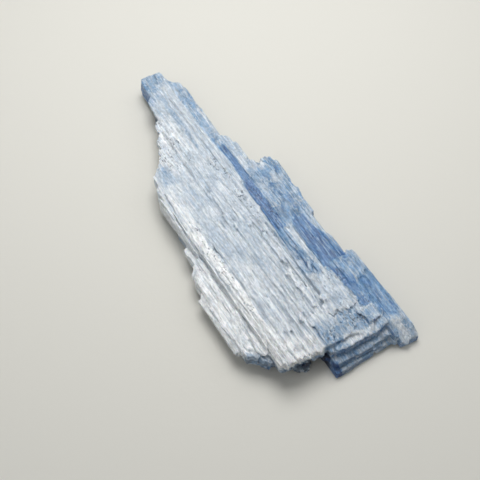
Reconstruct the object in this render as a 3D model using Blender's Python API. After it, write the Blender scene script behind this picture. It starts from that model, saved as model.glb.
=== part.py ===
"""A kyanite blade cluster: flat laths of one crystal habit, grown side by side and in sheets, and broken off.

+Y runs along the laths to the narrow tip, +X across them and +Z up from the face that the stone lies on.
Every length below is in millimetres. The laths are placed on a working origin, and the finished stone is
then centred over the middle of its own box, with its flat underside at Z = 0.
"""

import math
import random

import bmesh
import bpy
from mathutils import Matrix, Vector

MM = 0.001
NAME = "kyanite_blade_cluster"
SEED = 11

# The laths' sides lean this far from upright, and the cross parting that ends them this far.
SIDE_LEAN = math.radians(8)
PARTING_LEAN = math.radians(11)

# The upper face, as (across, height) from the left edge to the right one, at the thick end.
THICK_END_Y = -20.0
FALL_TO_TIP = 0.03  # drop of the upper face for each millimetre towards the tip
CREST = [
    (-10.6, 2.1),
    (-9.6, 2.8),
    (-7.2, 3.5),
    (-6.6, 3.6),
    (-6.1, 4.5),
    (-4.5, 4.6),
    (0.2, 4.35),
    (3.8, 4.1),
    (4.0, 3.7),
    (6.5, 3.4),
    (8.6, 3.0),
    (10.8, 2.5),
]

# A sheet is a row of laths from left to right. Its tip and tail lines, as (across, along), say where
# the laths break off. A sheet with a "lift" follows the upper face, that much above it or below it, and
# its "dip" is how it slopes along the laths. The others have a level top.
SHEETS = {
    "underside": {
        "left": -7.3,
        "right": 9.2,
        "tip": [(-7.3, 2.5), (-6.0, 8.5), (-3.0, 13.5), (-0.5, 19.5), (0.9, 23.0), (4.4, 23.6), (5.4, 21.0),
                (6.0, 12.0), (7.4, 6.0), (9.2, 4.5)],
        "tail": [(-7.3, -15.6), (-6.4, -17.2), (-4.6, -18.8), (9.2, -19.0)],
        "floor": (-0.1, 0.5),
        "top": 1.9,
        "lath": (0.7, 1.4),
    },
    "middle": {
        "left": -8.9,
        "right": 9.3,
        "tip": [(-8.9, -4.0), (-7.8, -1.0), (-7.0, 2.0), (-6.5, 9.6), (-3.6, 14.2), (-1.0, 19.2), (0.2, 22.4),
                (0.7, 25.6), (4.1, 27.6), (5.7, 24.4), (6.1, 14.0), (7.4, 8.0), (9.3, 6.2)],
        "tail": [(-8.9, -15.4), (-8.3, -16.6), (-7.3, -17.7), (-6.1, -18.8), (-4.0, -19.8), (-2.9, -19.5),
                 (9.3, -19.4)],
        "floor": (0.9, 1.3),
        "top": 2.8,
        "lath": (0.8, 1.4),
    },
    "left_bulge": {
        "left": -9.85,
        "right": -6.4,
        "tip": [(-9.85, -7.0), (-9.0, -4.2), (-8.0, -1.0), (-7.4, 0.8), (-7.0, 8.8), (-6.4, 10.8)],
        "tail": [(-9.85, -14.6), (-8.75, -15.4), (-8.0, -16.2), (-6.4, -17.6)],
        "floor": (1.5, 1.9),
        "lift": 0.0,
        "dip": -0.03,
        "lath": (0.7, 1.2),
    },
    "pale_sheet": {
        "left": -6.4,
        "right": 4.1,
        "tip": [(-6.4, 10.6), (-5.9, 12.0), (-5.0, 13.9), (-3.9, 14.8), (-2.6, 16.8), (-1.4, 19.4),
                (-0.2, 22.4), (0.5, 26.0), (1.0, 28.2), (4.2, 28.6)],
        "tail": [(-6.4, -18.5), (-6.1, -19.7), (-5.3, -20.7), (-3.9, -21.0), (-3.0, -20.5), (-0.4, -20.8),
                 (0.2, -19.6), (1.4, -17.4), (3.0, -17.9), (4.0, -17.3)],
        "floor": (2.2, 2.6),
        "lift": 0.0,
        "dip": -0.03,
        "lath": (0.55, 1.1),
    },
    "blue_side": {
        "left": 3.8,
        "right": 8.7,
        "tip": [(3.8, 27.0), (4.5, 26.8), (5.8, 25.2), (5.95, 19.5), (6.2, 16.5), (6.6, 14.0), (7.0, 12.0),
                (7.4, 9.4), (8.4, 8.4), (8.7, 7.8)],
        "tail": [(3.8, -20.3), (8.7, -20.9)],
        "floor": (1.0, 1.4),
        "lift": -0.25,
        "dip": -0.025,
        "lath": (0.6, 1.1),
    },
    "mottled": {
        "left": 4.9,
        "right": 8.4,
        "tip": [(4.9, 7.4), (5.6, 9.0), (6.4, 9.6), (7.2, 8.8), (8.4, 7.8)],
        "tail": [(4.9, -2.6), (6.0, -3.3), (8.4, -3.0)],
        "floor": (2.0, 2.2),
        "lift": 0.0,
        "dip": -0.02,
        "lath": (0.5, 0.9),
    },
    "pale_splinters": {
        "left": 4.9,
        "right": 6.0,
        "tip": [(4.9, -2.8), (6.0, -3.4)],
        "tail": [(4.9, -12.5), (5.5, -11.0), (6.0, -9.6)],
        "floor": (2.4, 2.5),
        "lift": 0.02,
        "dip": -0.03,
        "lath": (0.35, 0.55),
    },
    "pale_corner": {
        "left": 3.2,
        "right": 6.6,
        "tip": [(3.2, -7.6), (4.2, -10.5), (4.9, -11.2), (5.5, -9.0), (6.6, -12.0)],
        "tail": [(3.2, -17.4), (4.0, -16.9), (5.2, -17.8), (6.6, -17.2)],
        "floor": (2.4, 2.6),
        "lift": 0.15,
        "dip": -0.02,
        "lath": (0.5, 0.9),
    },
    "deck": {
        "left": 0.0,
        "right": 6.4,
        "tip": [(0.0, -16.0), (6.4, -15.0)],
        "tail": [(0.0, -20.4), (1.5, -20.6), (3.6, -20.7), (4.6, -21.0), (6.4, -20.8)],
        "floor": (2.0, 2.2),
        "lift": -0.3,
        "dip": 0.1,
        "lath": (0.8, 1.5),
        "ragged": 0.15,
    },
    "block_high": {
        "left": -0.05,
        "right": 8.5,
        "tip": [(-0.05, -16.0), (8.5, -16.0)],
        "tail": [(-0.05, -21.4), (2.0, -21.8), (6.6, -21.8), (8.5, -21.4)],
        "floor": (1.0, 1.2),
        "top": 3.05,
        "lath": (1.2, 2.6),
        "ragged": 0.12,
    },
    "block_low": {
        "left": -0.15,
        "right": 8.5,
        "tip": [(-0.15, -16.0), (8.5, -16.0)],
        "tail": [(-0.15, -22.7), (8.5, -22.8)],
        "floor": (0.4, 0.6),
        "top": 1.95,
        "lath": (1.8, 3.2),
        "ragged": 0.1,
    },
    "block_foot": {
        "left": -0.3,
        "right": 8.5,
        "tip": [(-0.3, -16.0), (8.5, -16.0)],
        "tail": [(-0.3, -23.0), (0.6, -23.3), (8.5, -23.3)],
        "floor": (-0.05, 0.2),
        "top": 1.1,
        "lath": (2.0, 3.6),
        "ragged": 0.1,
    },
}

# Single laths, as ((left, right), (tail, tip), (floor, top)).
SINGLES = {
    "curl": ((6.2, 7.35), (9.5, 12.9), (1.2, 2.55)),
    "edge_rib": ((8.3, 9.4), (-23.4, 8.3), (0.5, 2.7)),
    "edge_lobe_high": ((8.7, 10.0), (3.4, 8.1), (0.9, 2.65)),
    "edge_lobe_low": ((9.4, 10.5), (4.0, 7.3), (1.0, 2.5)),
    "edge_upper": ((8.8, 10.1), (-2.6, 6.8), (0.7, 2.5)),
    "edge_waist": ((8.8, 9.55), (-10.5, -2.0), (0.5, 2.6)),
    "edge_step": ((8.8, 9.9), (-11.5, -6.4), (0.6, 2.5)),
    "edge_lower": ((9.0, 11.3), (-24.0, -9.9), (-0.1, 2.0)),
    "edge_lower_top": ((8.9, 10.9), (-23.2, -10.4), (1.0, 2.6)),
    "foot_left": ((-6.5, -5.3), (-15.6, 4.0), (-0.1, 1.2)),
    "foot_right": ((6.3, 7.6), (-19.0, 2.6), (-0.1, 1.2)),
    "edge_patch": ((7.5, 10.3), (-14.3, -10.6), (1.6, 2.95)),
    "lobe": ((6.3, 8.2), (-20.4, -18.4), (2.0, 3.45)),
    "tip_block": ((0.8, 4.25), (16.0, 29.0), (1.0, 2.7)),
    "tip_foot": ((0.6, 2.2), (17.0, 28.1), (0.8, 2.5)),
    "tail_stub": ((-4.4, -2.3), (-20.2, -16.0), (0.2, 1.3)),
    "notch_wall": ((-0.9, 0.3), (-20.9, -17.0), (1.0, 1.9)),
}
REST = ((-1.6, 2.6), (-17.6, 12.4), (-0.3, 1.2))
SINGLES_TILT = (-0.05, 0.0)  # slope of their tops across and along: they fall a little to the right

# How a lath is worn: its long edges are bevelled, its corners chipped and its floor a little out of level.
WEAR = {
    "bevel": (0.06, 0.2),
    "bevel_steepness": (0.6, 1.5),
    "chip_chance": 0.45,
    "chip_of_width": (0.1, 0.35),
    "largest_chip": 0.3,
    "chip_skew": (0.35, 1.1),
    "chip_lean": (-0.2, 0.5),
    "floor_roll": 0.12,
    "floor_pitch": 0.006,
}

# How the laths of one sheet vary: they overlap, end unevenly and stand at slightly different heights.
SPREAD = {"overlap": 0.08, "ragged": 0.3, "height": 0.12, "roll": 0.12, "steepest_roll": 0.35}

# Fine splinters stand on the upper face, this many on each of its sheets, and others under the stone.
SPLINTERS = {"left_bulge": 12, "pale_sheet": 44, "blue_side": 22, "deck": 6}
SPLINTER = {
    "width": (0.25, 0.65),
    "length": (2.5, 11.0),
    "stands": (0.06, 0.18),
    "depth": 0.9,
    "pitch": 0.012,
}
SPLINTERS_BELOW = 34
SPLINTER_BELOW = {"width": (0.3, 0.7), "length": (2.5, 12.0), "floor": (0.02, 0.32), "top": 1.2}
END_TURN = 0.7  # a splinter's broken ends, and the pits, turn by up to this, in radians

# Long furrows between ribs, as (from, to, width), each point being (across, along).
FURROWS = [
    ((-6.35, 8.4), (-6.75, -0.2), 0.30),
    ((-6.70, 0.8), (-7.05, -10.4), 0.34),
    ((-7.05, -9.0), (-6.75, -18.6), 0.36),
    ((-4.35, 2.0), (-4.55, -15.5), 0.16),
    ((2.05, 25.0), (2.0, 18.0), 0.14),
    ((4.15, 24.0), (4.2, 6.0), 0.16),
    ((6.9, 8.6), (7.25, 2.0), 0.2),
]

# Pits and lost chips, as (across, along, half width, half length, depth).
PITS = [
    (-5.5, 3.8, 0.16, 0.22, 0.22),
    (-5.6, -5.7, 0.3, 0.16, 0.2),
    (-5.1, 6.9, 0.13, 0.25, 0.16),
    (1.7, 1.8, 0.14, 0.28, 0.24),
    (-1.05, 13.6, 0.2, 0.2, 0.22),
    (1.0, 9.7, 0.14, 0.16, 0.2),
    (2.9, 14.0, 0.14, 0.22, 0.2),
    (1.5, 15.3, 0.12, 0.24, 0.2),
    (-1.9, 11.0, 0.14, 0.3, 0.16),
    (0.1, -13.75, 0.55, 0.14, 0.2),
    (-2.7, -18.6, 0.24, 0.5, 0.26),
    (3.75, -17.3, 0.34, 0.4, 0.4),
    (7.1, 4.4, 0.24, 0.4, 0.34),
    (8.0, 3.2, 0.2, 0.16, 0.2),
    (6.95, -7.6, 0.16, 0.5, 0.14),
    (0.6, -21.3, 0.3, 0.24, 0.3),
    (-3.0, -4.6, 0.22, 0.5, 0.14),
    (1.8, -15.9, 0.2, 0.45, 0.2),
    (4.1, -10.3, 0.16, 0.5, 0.2),
]
FINISH = {"colour": (0.55, 0.66, 0.80, 1.0), "roughness": 0.42}


def along(line, x):
    """Height of a line of points at x."""
    for (x0, y0), (x1, y1) in zip(line, line[1:]):
        if x <= x1:
            return y0 + max(0.0, (x - x0) / (x1 - x0)) * (y1 - y0)
    return line[-1][1]


def slope(line, x, limit=0.8):
    """How steeply a line of points rises at x, up to a limit either way."""
    reach = 0.35
    steepness = (along(line, x + reach) - along(line, x - reach)) / (2 * reach)
    return max(-limit, min(limit, steepness))


def crest(x, y):
    """Height of the upper face."""
    return along(CREST, x) - FALL_TO_TIP * (y - THICK_END_Y)


def either_way(dice, limit):
    """A random value between minus the limit and plus the limit."""
    return dice.uniform(-limit, limit)


def trim(solid, point, outward):
    """Takes away all of a convex bmesh that lies beyond a plane, and closes the cut."""
    cut = bmesh.ops.bisect_plane(
        solid,
        geom=solid.verts[:] + solid.edges[:] + solid.faces[:],
        plane_co=point,
        plane_no=outward,
        clear_outer=True,
    )
    rim = [item for item in cut["geom_cut"] if isinstance(item, bmesh.types.BMEdge)]
    if rim:
        bmesh.ops.edgenet_fill(solid, edges=rim)


def keep(collection, name, solid):
    """Stores a bmesh in millimetres as a working object in metres."""
    bmesh.ops.recalc_face_normals(solid, faces=solid.faces)
    bmesh.ops.scale(solid, vec=(MM, MM, MM), verts=solid.verts)
    mesh = bpy.data.meshes.new(name)
    solid.to_mesh(mesh)
    solid.free()
    worker = bpy.data.objects.new(name, mesh)
    worker.hide_render = True
    worker.display_type = "WIRE"
    collection.objects.link(worker)
    return worker


def lath(collection, name, span, ends, heights, dice, tilt=(0.0, 0.0), turns=(0.0, 0.0)):
    """One flat blade with leaning sides, worn long edges and slanting broken ends."""
    spare = 12.0
    (left, right), (tail, tip), (floor, top) = span, ends, heights
    middle, width, half_way = (left + right) / 2, right - left, (tip + tail) / 2
    solid = bmesh.new()
    bmesh.ops.create_cube(solid, size=1.0)
    height = top - floor + 2.0
    stretch = Matrix.Diagonal((width, tip - tail + 2 * spare, height, 1.0))
    lean = Matrix.Identity(4)
    lean[0][2] = math.tan(SIDE_LEAN)
    drop = floor + height / 2 - top
    place = Matrix.Translation((middle, half_way, top)) @ lean @ Matrix.Translation((0.0, 0.0, drop))
    bmesh.ops.transform(solid, matrix=place @ stretch, verts=solid.verts)
    trim(solid, (middle, half_way, top), (-tilt[0], -tilt[1], 1.0))
    parting = math.tan(PARTING_LEAN)
    trim(solid, (middle, tip, top), (math.sin(turns[0]), math.cos(turns[0]), -parting))
    trim(solid, (middle, tail, top), (-math.sin(turns[1]), -math.cos(turns[1]), parting))
    roll, pitch = either_way(dice, WEAR["floor_roll"]), either_way(dice, WEAR["floor_pitch"])
    trim(solid, (middle, half_way, floor), (roll, pitch, -1.0))
    for side in (-1, 1):
        edge = side * (width / 2 - dice.uniform(*WEAR["bevel"]))
        steepness = dice.uniform(*WEAR["bevel_steepness"])
        trim(solid, (middle + edge, half_way, top + tilt[0] * edge), (side, 0.0, steepness))
        foot = middle + edge + math.tan(SIDE_LEAN) * (floor - top)
        trim(solid, (foot, half_way, floor), (side, 0.0, -steepness))
        for end, y in ((1, tip), (-1, tail)):
            if dice.random() < WEAR["chip_chance"]:
                chip = min(WEAR["largest_chip"], dice.uniform(*WEAR["chip_of_width"]) * width)
                corner = (middle + side * (width / 2 - chip), y, top)
                skew = end * dice.uniform(*WEAR["chip_skew"])
                trim(solid, corner, (side, skew, dice.uniform(*WEAR["chip_lean"])))
    return keep(collection, name, solid)


def sheet(collection, name, form, dice):
    """A row of laths. Each breaks off along its own stretch of the sheet's tip and tail lines."""
    overlap = SPREAD["overlap"]
    ragged = form.get("ragged", SPREAD["ragged"])
    follows_crest = "lift" in form
    left = form["left"]
    number = 0
    while left < form["right"] - overlap:
        right = min(left + dice.uniform(*form["lath"]), form["right"])
        middle = (left + right) / 2
        tip = along(form["tip"], middle) + either_way(dice, ragged)
        tail = along(form["tail"], middle) + either_way(dice, ragged)
        top = crest(middle, (tip + tail) / 2) + form["lift"] if follows_crest else form["top"]
        roll = slope(CREST, middle, SPREAD["steepest_roll"]) if follows_crest else 0.0
        lath(
            collection,
            f"{name}_{number}",
            (left - overlap, right + overlap),
            (tail, tip),
            (dice.uniform(*form["floor"]), top + either_way(dice, SPREAD["height"])),
            dice,
            (roll + either_way(dice, SPREAD["roll"]), form.get("dip", 0.0)),
            (-math.atan(slope(form["tip"], middle)), -math.atan(slope(form["tail"], middle))),
        )
        left = right
        number += 1


def place_splinter(form, rules, dice):
    """A splinter's (left, right) and (tail, tip), well inside its sheet."""
    margin = 0.5
    width = dice.uniform(*rules["width"])
    x = dice.uniform(form["left"] + margin, form["right"] - margin)
    low = max(along(form["tail"], x - margin), along(form["tail"], x + margin)) + margin
    high = min(along(form["tip"], x - margin), along(form["tip"], x + margin)) - margin
    length = min(dice.uniform(*rules["length"]), 0.8 * (high - low))
    tail = dice.uniform(low, high - length)
    return (x - width / 2, x + width / 2), (tail, tail + length)


def splinters(collection, name, form, count, dice):
    """Thin slivers left standing a little above a sheet."""
    for number in range(count):
        span, ends = place_splinter(form, SPLINTER, dice)
        x, y = sum(span) / 2, sum(ends) / 2
        top = crest(x, y) + form["lift"] + dice.uniform(*SPLINTER["stands"])
        tilt = (slope(CREST, x) / 2, form["dip"] + either_way(dice, SPLINTER["pitch"]))
        turns = (either_way(dice, END_TURN), either_way(dice, END_TURN))
        heights = (top - SPLINTER["depth"], top)
        lath(collection, f"{name}_splinter_{number}", span, ends, heights, dice, tilt, turns)


def splinters_below(collection, form, count, dice):
    """Thin ribs left standing on the underside of a sheet."""
    for number in range(count):
        span, ends = place_splinter(form, SPLINTER_BELOW, dice)
        heights = (dice.uniform(*SPLINTER_BELOW["floor"]), SPLINTER_BELOW["top"])
        turns = (either_way(dice, END_TURN), either_way(dice, END_TURN))
        lath(collection, f"splinter_below_{number}", span, ends, heights, dice, turns=turns)


def furrow(collection, name, start, end, width):
    """A long V-shaped groove in the upper face."""
    rise = 0.05  # its widest level lies this far over the upper face
    first = Vector((*start, crest(*start) + rise))
    last = Vector((*end, crest(*end) + rise))
    course = last - first
    solid = bmesh.new()
    bmesh.ops.create_cube(solid, size=1.0)
    turn = course.to_track_quat("Y", "Z").to_matrix().to_4x4()
    on_edge = Matrix.Rotation(math.radians(45), 4, "Y")
    stretch = Matrix.Diagonal((width, course.length, width, 1.0))
    place = Matrix.Translation((first + last) / 2) @ turn @ on_edge @ stretch
    bmesh.ops.transform(solid, matrix=place, verts=solid.verts)
    return keep(collection, name, solid)


def surface(x, y):
    """Height of the topmost sheet: the block's ledge, the lower blue sheet or the upper face."""
    block, blue, mottled = SHEETS["block_high"], SHEETS["blue_side"], SHEETS["mottled"]
    if y < along(SHEETS["deck"]["tail"], x):
        return block["top"]
    if x > blue["left"] and y < along(mottled["tail"], x):
        return crest(x, y) + blue["lift"]
    return crest(x, y)


def pit(collection, name, x, y, half_width, half_length, depth, dice):
    """A small hollow with flat facets, where a chip was lost."""
    solid = bmesh.new()
    bmesh.ops.create_icosphere(solid, subdivisions=1, radius=1.0)
    proud = 0.3  # this share of the depth stands over the surface
    turn = Matrix.Rotation(either_way(dice, END_TURN), 4, "Z")
    turn = turn @ Matrix.Rotation(dice.uniform(0, math.pi), 4, "Y")
    stretch = Matrix.Diagonal((half_width, half_length, depth * (1 + proud), 1.0))
    place = Matrix.Translation((x, y, surface(x, y) + proud * depth)) @ stretch @ turn
    bmesh.ops.transform(solid, matrix=place, verts=solid.verts)
    return keep(collection, name, solid)


def level_underside(collection):
    """A wide block whose top is the level Z = 0, which cuts the lowest laths flat."""
    wide, long, deep = 80.0, 120.0, 10.0
    ground = bmesh.new()
    bmesh.ops.create_cube(ground, size=1.0)
    place = Matrix.Translation((0.0, 0.0, -deep / 2)) @ Matrix.Diagonal((wide, long, deep, 1.0))
    bmesh.ops.transform(ground, matrix=place, verts=ground.verts)
    keep(collection, "ground", ground)


def combined(target, collection, operation):
    """The target's mesh after one Boolean with every object of a collection."""
    step = target.modifiers.new(operation.lower(), "BOOLEAN")
    step.operation = operation
    step.solver = "EXACT"
    step.operand_type = "COLLECTION"
    step.collection = collection
    bpy.context.view_layer.update()
    graph = bpy.context.evaluated_depsgraph_get()
    mesh = bpy.data.meshes.new_from_object(target.evaluated_get(graph))
    target.modifiers.remove(step)
    return mesh


def without_islands(mesh):
    """The mesh with only its widest connected body, so no closed gap between laths is left inside."""
    solid = bmesh.new()
    solid.from_mesh(mesh)
    waiting = set(solid.verts)
    bodies = []
    while waiting:
        body, edge_of_search = set(), [waiting.pop()]
        while edge_of_search:
            vertex = edge_of_search.pop()
            body.add(vertex)
            for edge in vertex.link_edges:
                other = edge.other_vert(vertex)
                if other in waiting:
                    waiting.remove(other)
                    edge_of_search.append(other)
        bodies.append(body)
    widest = max(bodies, key=len)
    strays = [vertex for body in bodies if body is not widest for vertex in body]
    bmesh.ops.delete(solid, geom=strays, context="VERTS")
    solid.to_mesh(mesh)
    solid.free()
    return mesh


def kyanite():
    """Pearly blue stone."""
    finish = bpy.data.materials.new("kyanite")
    finish.use_nodes = True
    principled = finish.node_tree.nodes["Principled BSDF"]
    principled.inputs["Base Color"].default_value = FINISH["colour"]
    principled.inputs["Roughness"].default_value = FINISH["roughness"]
    return finish


def main():
    for leftover in list(bpy.data.objects):
        bpy.data.objects.remove(leftover)
    scene = bpy.context.scene.collection
    laths = bpy.data.collections.new("laths")
    cutters = bpy.data.collections.new("cutters")
    stone = bpy.data.collections.new(NAME)
    for collection in (laths, cutters, stone):
        scene.children.link(collection)
    dice = random.Random(SEED)
    for name, form in SHEETS.items():
        sheet(laths, name, form, dice)
    for name, (span, ends, heights) in SINGLES.items():
        lath(laths, name, span, ends, heights, dice, SINGLES_TILT)
    for name, count in SPLINTERS.items():
        splinters(laths, name, SHEETS[name], count, dice)
    splinters_below(laths, SHEETS["underside"], SPLINTERS_BELOW, dice)
    for number, (start, end, width) in enumerate(FURROWS):
        furrow(cutters, f"furrow_{number}", start, end, width)
    for number, (x, y, half_width, half_length, depth) in enumerate(PITS):
        pit(cutters, f"pit_{number}", x, y, half_width, half_length, depth, dice)
    level_underside(cutters)

    base = lath(stone, "base", *REST, dice)
    cluster = bpy.data.objects.new(NAME, combined(base, laths, "UNION"))
    bpy.data.objects.remove(base)
    stone.objects.link(cluster)
    cluster.data = without_islands(combined(cluster, cutters, "DIFFERENCE"))
    cluster.data.name = NAME

    corners = [vertex.co for vertex in cluster.data.vertices]
    low = Vector([min(corner[axis] for corner in corners) for axis in range(3)])
    high = Vector([max(corner[axis] for corner in corners) for axis in range(3)])
    shift = Vector((-(low.x + high.x) / 2, -(low.y + high.y) / 2, -low.z))
    cluster.data.transform(Matrix.Translation(shift))
    print("shift of the working origin, mm:", [round(value / MM, 3) for value in shift])
    cluster.data.materials.clear()
    cluster.data.materials.append(kyanite())


main()
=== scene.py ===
import math
import random
from functools import partial

import bpy
import numpy as np
from mathutils import Matrix, Vector
from mathutils.bvhtree import BVHTree


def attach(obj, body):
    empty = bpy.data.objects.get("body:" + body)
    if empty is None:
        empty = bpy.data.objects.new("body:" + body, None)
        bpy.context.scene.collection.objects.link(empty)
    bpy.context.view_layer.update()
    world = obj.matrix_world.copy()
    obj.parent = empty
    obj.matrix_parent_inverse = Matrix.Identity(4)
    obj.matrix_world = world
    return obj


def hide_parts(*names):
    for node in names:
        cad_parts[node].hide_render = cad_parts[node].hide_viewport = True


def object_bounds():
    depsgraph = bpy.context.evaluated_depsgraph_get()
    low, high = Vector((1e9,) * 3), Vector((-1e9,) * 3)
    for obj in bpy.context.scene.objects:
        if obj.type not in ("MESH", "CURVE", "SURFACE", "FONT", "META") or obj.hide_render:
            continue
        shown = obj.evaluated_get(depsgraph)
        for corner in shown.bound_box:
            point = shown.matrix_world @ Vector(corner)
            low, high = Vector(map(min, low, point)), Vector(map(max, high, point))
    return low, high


# A raw kyanite blade cluster on a pale floor. +Y runs along the blades to the tip, +Z is up.

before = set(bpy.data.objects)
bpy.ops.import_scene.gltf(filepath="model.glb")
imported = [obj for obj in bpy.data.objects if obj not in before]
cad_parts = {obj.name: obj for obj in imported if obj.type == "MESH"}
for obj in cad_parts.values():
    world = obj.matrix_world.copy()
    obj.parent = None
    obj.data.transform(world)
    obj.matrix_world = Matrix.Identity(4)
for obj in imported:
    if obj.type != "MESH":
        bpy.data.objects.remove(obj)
bpy.context.view_layer.update()
cadLow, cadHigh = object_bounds()
stoneName = "kyanite_blade_cluster"
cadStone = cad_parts[stoneName]

mm = 0.001
growthOrigin = Vector((-0.631, -2.312, 0.0))  # mm, the point that places on the stone are counted from


def deselectAll():
    for thing in bpy.context.selected_objects:
        thing.select_set(False)


def useOnly(piece):
    deselectAll()
    piece.select_set(True)
    bpy.context.view_layer.objects.active = piece


def applyModifier(piece, kind, **settings):
    step = piece.modifiers.new(kind.lower(), kind)
    for name, value in settings.items():
        setattr(step, name, value)
    useOnly(piece)
    bpy.ops.object.modifier_apply(modifier=step.name)


def linear(hexColour):
    # sRGB hex to linear colour
    channels = [int(hexColour[i:i + 2], 16) / 255 for i in (1, 3, 5)]
    lin = [c / 12.92 if c <= 0.04045 else ((c + 0.055) / 1.055) ** 2.4 for c in channels]
    return (*lin, 1.0)


def latticeValue(ix, iy, iz, seed):
    # the same random value between 0 and 1 for the same lattice point each time
    mix = ix * 374761393 + iy * 668265263 + iz * 2147483647 + seed * 974634777
    mix = (mix ^ (mix >> 13)) * 1274126177
    return ((mix ^ (mix >> 16)) & 0xFFFFFF) / 0xFFFFFF


def smoothNoise(points, size, seed):
    # smooth random values between 0 and 1 that change over about size, in mm
    scaled = points / np.array(size)
    cell = np.floor(scaled).astype(np.int64)
    part = scaled - cell
    part = part * part * (3 - 2 * part)
    total = np.zeros(len(points))
    for corner in range(8):
        step = np.array([(corner >> axis) & 1 for axis in range(3)])
        weight = np.prod(np.where(step, part, 1 - part), axis=1)
        spot = cell + step
        total += weight * latticeValue(spot[:, 0], spot[:, 1], spot[:, 2], seed)
    return total


def wander(points, bends, seed=0):
    # smooth random bends: the size of each in mm, how far it goes from side to side, and its seed
    return sum(reach * (smoothNoise(points, size, seed + number) - 0.5) for size, reach, number in bends)


def stretchDistance(x, y, start, end):
    # distance to the straight line from start to end
    (x0, y0), (x1, y1) = start, end
    dx, dy = x1 - x0, y1 - y0
    share = np.clip(((x - x0) * dx + (y - y0) * dy) / (dx * dx + dy * dy), 0, 1)
    return np.hypot(x - x0 - share * dx, y - y0 - share * dy)


def lineDistance(x, y, line):
    nearest = np.full(len(x), 1e9)
    for start, end in zip(line, line[1:]):
        nearest = np.minimum(nearest, stretchDistance(x, y, start, end))
    return nearest


def insideDistance(x, y, outline):
    # distance to an outline, positive inside it
    nearest = lineDistance(x, y, outline + outline[:1])
    inside = np.zeros(len(x), bool)
    for (x0, y0), (x1, y1) in zip(outline, outline[1:] + outline[:1]):
        if y0 != y1:
            crosses = (y0 > y) != (y1 > y)
            inside ^= crosses & (x < x0 + (y - y0) / (y1 - y0) * (x1 - x0))
    return np.where(inside, nearest, -nearest)


# the body: a copy of the solid, welded

def weldedCopy():
    body = cadStone.copy()
    body.data = cadStone.data.copy()
    body.name = "kyanite_blades"
    body.parent = None
    for label in list(body.keys()):  # what marks the solid itself stays off the copy
        del body[label]
    bpy.context.scene.collection.objects.link(body)
    useOnly(body)
    bpy.ops.object.mode_set(mode="EDIT")
    bpy.ops.mesh.select_all(action="SELECT")
    bpy.ops.mesh.remove_doubles(threshold=0.000002)
    bpy.ops.mesh.normals_make_consistent(inside=False)
    bpy.ops.object.mode_set(mode="OBJECT")
    return body


# where laths have broken off: middle and size of the gap in mm from growthOrigin, then how far it is
# tilted about x and turned about z in degrees

gaps = {
    "besideFlap": ((-8.15, 5.6, 1.5), (2.1, 8.4, 5.0), 0.0, 3.0),
    "sheetEnd": ((-4.9, -21.4, 3.5), (3.8, 2.2, 2.4), 0.0, -4.0),
    "thinCorner": ((10.2, -23.4, 2.75), (3.6, 4.6, 2.0), 27.3, -4.0),
}


# the corners that reach a little further than in the plain solid: low and high x, low and high y, and
# how far they are drawn out in x and y, in mm from growthOrigin
reaches = [
    ((-2.0, 7.0), (23.9, 31.0), (0.3, 0.5)),
    ((10.2, 12.0), (-26.0, -23.2), (0.25, -0.3)),
]


def drawOut(body):
    for (lowX, highX), (lowY, highY), (outX, outY) in reaches:
        for vertex in body.data.vertices:
            spot = vertex.co / mm - growthOrigin
            if lowX < spot.x < highX and lowY < spot.y < highY:
                vertex.co += Vector((outX, outY, 0.0)) * mm


def breakOff(body):
    for middle, size, tilt, turn in gaps.values():
        bpy.ops.mesh.primitive_cube_add(size=1.0, location=(Vector(middle) + growthOrigin) * mm)
        cutter = bpy.context.object
        cutter.scale = [side * mm for side in size]
        cutter.rotation_euler = (math.radians(tilt), 0.0, math.radians(turn))
        bpy.context.view_layer.update()
        applyModifier(body, "BOOLEAN", operation="DIFFERENCE", object=cutter, solver="EXACT")
        bpy.data.objects.remove(cutter)


# splinters: long low slivers that lie along the blades, and short stubs on the broken ends

splinter = {
    "kinds": 6,
    "seed": 7,
    "above": 420,  # how many on the upper faces
    "below": 300,
    "sides": 300,
    "ends": 420,
    "width": (0.12, 0.65),  # mm
    "length": (2.0, 13.0),
    "thickness": 0.35,
    "stands": (0.0, 0.035),
    "yaw": 1.6,  # degrees
    "stubLength": (0.4, 1.3),
    "stubOut": (0.02, 0.22),
    "stubTall": (0.12, 0.35),
    "shortest": 0.6,
    "largestStep": 0.16,  # what a sliver may bridge up or down at its ends
    "bridges": [  # x, y, top, width, length and height, in mm
        (2.6, -13.6, 4.02, 1.3, 5.4, 0.8), (4.9, -10.2, 3.5, 2.4, 3.0, 0.8),
        (-6.7, 3.9, 3.72, 1.0, 11.6, 0.8), (-6.45, 2.2, 4.0, 0.5, 10.0, 0.8),
        (-6.5, -6.5, 4.05, 0.45, 11.0, 0.8), (-6.5, -14.0, 4.1, 0.5, 8.0, 0.8),
        (-6.44, 3.3, 3.62, 0.9, 12.0, 0.8), (-6.44, -6.7, 3.5, 0.9, 12.0, 0.6),
        (-6.94, 3.6, 3.45, 0.7, 10.0, 0.9),
        (-1.8, -19.4, 2.5, 3.5, 3.4, 2.5),  # the layer under the broken end of the pale sheet, deep blue and painted darker as the shade there
        (4.75, 25.2, 2.88, 1.0, 4.6, 1.8),
        (9.3, -15.2, 2.8, 1.9, 3.4, 0.6), (9.95, -15.4, 2.76, 1.1, 3.8, 0.6),
        (7.0, -20.9, 3.25, 2.4, 1.7, 0.6), (9.75, -3.7, 2.35, 0.9, 4.2, 2.2),
    ],
    # the clean broken ends, which stay bare: low and high x, then y
    "smoothEnds": [(-1.0, 12.0, -26.0, -19.8), (-2.0, 6.0, 25.5, 31.0)],
}


def trimSelected(point, outward):
    bpy.ops.mesh.select_all(action="SELECT")
    bpy.ops.mesh.bisect(plane_co=point, plane_no=outward, use_fill=True, clear_outer=True)


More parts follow.
